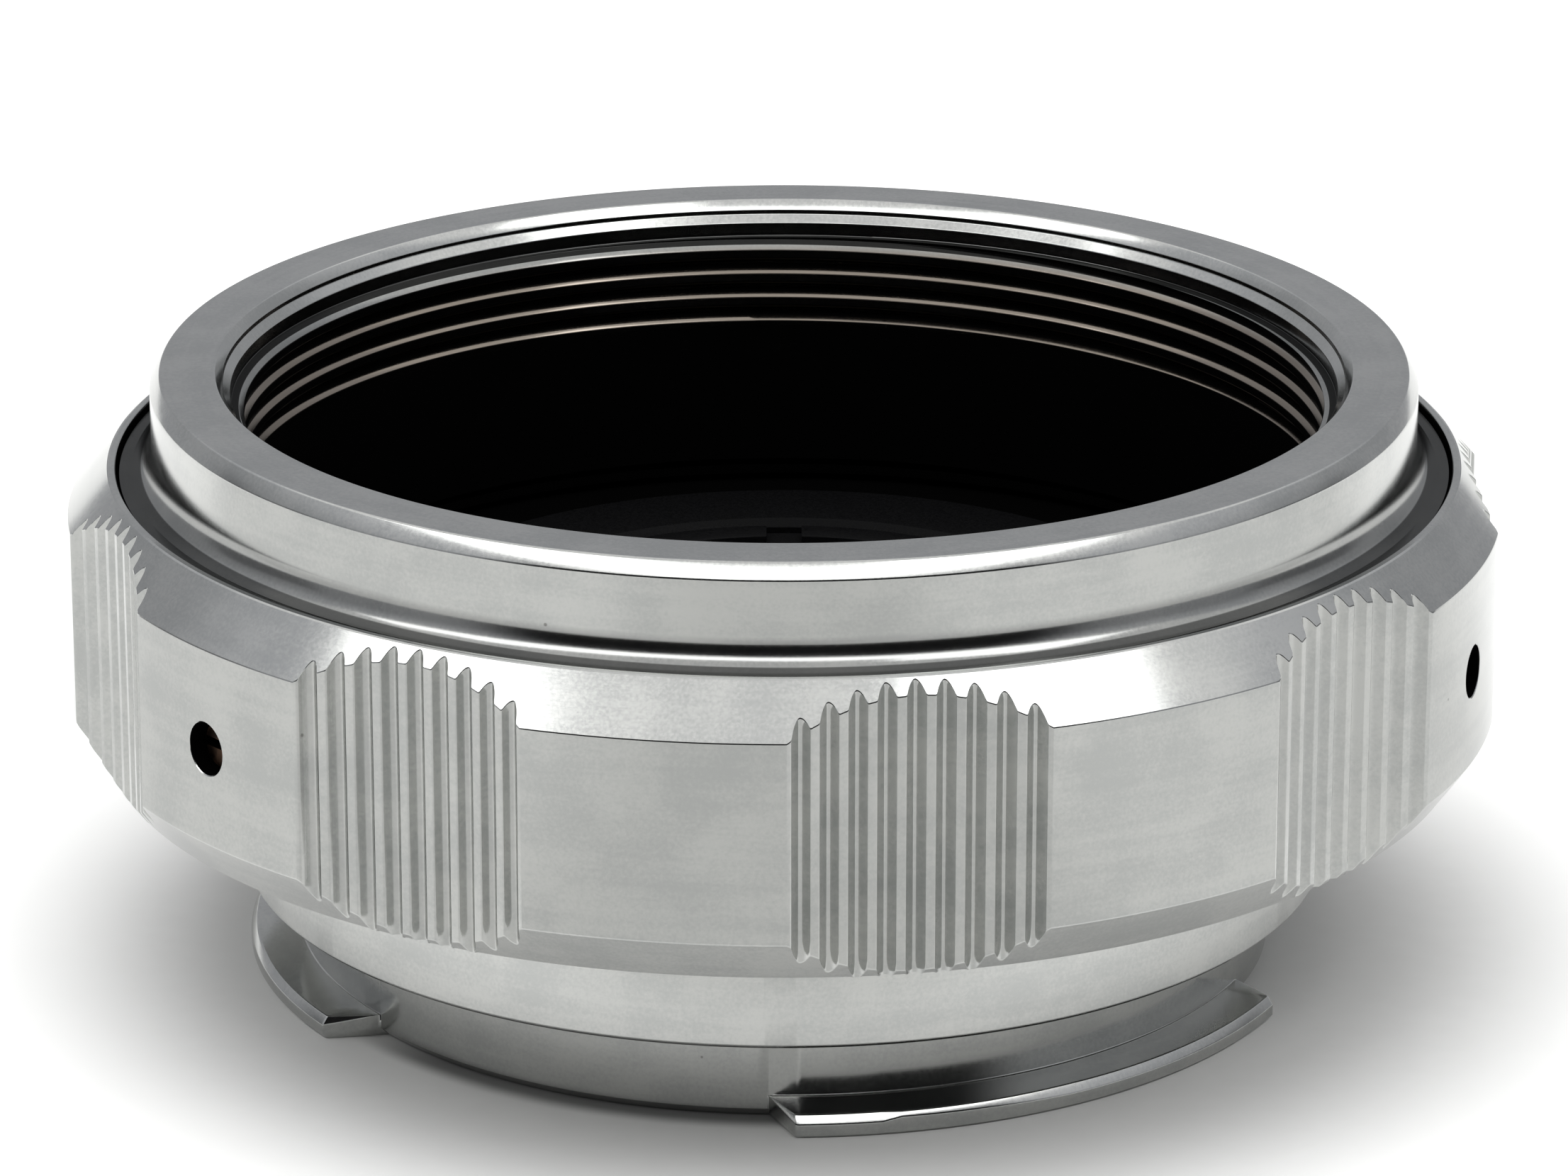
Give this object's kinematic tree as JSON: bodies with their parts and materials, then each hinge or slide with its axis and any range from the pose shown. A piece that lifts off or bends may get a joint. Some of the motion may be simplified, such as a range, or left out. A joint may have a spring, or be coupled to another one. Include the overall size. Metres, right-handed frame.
{
  "type": "barlow lens",
  "caption": "Low chromed barlow lens: threaded ring turning in a knurled grip ring with lock screws, negative lens cell inside, three-lug bayonet below.",
  "frame": {"origin": "on the optical axis, at the bottom face of the neck and lugs, which the part stands on", "axes": "+Z along the optical axis from the bayonet to the threaded mouth; -Y faces the side with the first lug's leading end"},
  "size_m": [0.054, 0.0544, 0.0232],
  "materials": {
    "satin_chrome": "satin chrome plate over turned brass, fine turning marks",
    "screw_steel": "dulled steel grub screw",
    "brass": "plain turned brass",
    "black_screw": "blackened steel",
    "black_anodised": "matte black anodised",
    "coated_glass": "polished, anti-reflection coated"
  },
  "bodies": {
    "mount_body": {"grip_ring": "satin_chrome", "bayonet_mount": "satin_chrome", "mount_screw_1": "black_screw", "mount_screw_2": "black_screw", "mount_screw_3": "black_screw", "mount_screw_4": "black_screw", "slip_washer": "brass", "lens_cell": "black_anodised", "front_lens": "coated_glass", "lens_spacer": "black_anodised", "rear_lens": "coated_glass", "lens_retaining_ring": "black_anodised", "cell_lock_ring": "black_anodised"},
    "thread_ring": {"thread_ring": "satin_chrome"},
    "set_screw_pad_1": {"set_screw_pad_1": "brass"},
    "set_screw_pad_2": {"set_screw_pad_2": "brass"},
    "set_screw_pad_3": {"set_screw_pad_3": "brass"},
    "set_screw_1": {"set_screw_1": "screw_steel"},
    "set_screw_2": {"set_screw_2": "screw_steel"},
    "set_screw_3": {"set_screw_3": "screw_steel"}
  },
  "joints": [
    {"name": "thread_ring_turn", "type": "hinge", "parent": "mount_body", "child": "thread_ring", "pos_m": [0, 0, 0.0178], "axis": [0, 0, 1], "continuous": true},
    {"name": "set_screw_1_travel", "type": "slide", "parent": "mount_body", "child": "set_screw_pad_1", "axis": [-0.766, -0.6428, 0], "range_m": [0, 0.0012]},
    {"name": "set_screw_1_turn", "type": "hinge", "parent": "set_screw_pad_1", "child": "set_screw_1", "pos_m": [-0.01961, -0.01646, 0.01395], "axis": [-0.766, -0.6428, 0], "range_deg": [0, 1081]},
    {"name": "set_screw_2_travel", "type": "slide", "parent": "mount_body", "child": "set_screw_pad_2", "axis": [0.9397, -0.342, 0], "range_m": [0, 0.0012]},
    {"name": "set_screw_2_turn", "type": "hinge", "parent": "set_screw_pad_2", "child": "set_screw_2", "pos_m": [0.02406, -0.00876, 0.01395], "axis": [0.9397, -0.342, 0], "range_deg": [0, 1081]},
    {"name": "set_screw_3_travel", "type": "slide", "parent": "mount_body", "child": "set_screw_pad_3", "axis": [-0.1736, 0.9848, 0], "range_m": [0, 0.0012]},
    {"name": "set_screw_3_turn", "type": "hinge", "parent": "set_screw_pad_3", "child": "set_screw_3", "pos_m": [-0.00445, 0.02521, 0.01395], "axis": [-0.1736, 0.9848, 0], "range_deg": [0, 1081]}
  ],
  "couplings": [
    {"joint": "set_screw_1_turn", "follows": "set_screw_1_travel", "rad_per_m": 15708},
    {"joint": "set_screw_2_turn", "follows": "set_screw_2_travel", "rad_per_m": 15708},
    {"joint": "set_screw_3_turn", "follows": "set_screw_3_travel", "rad_per_m": 15708}
  ]
}
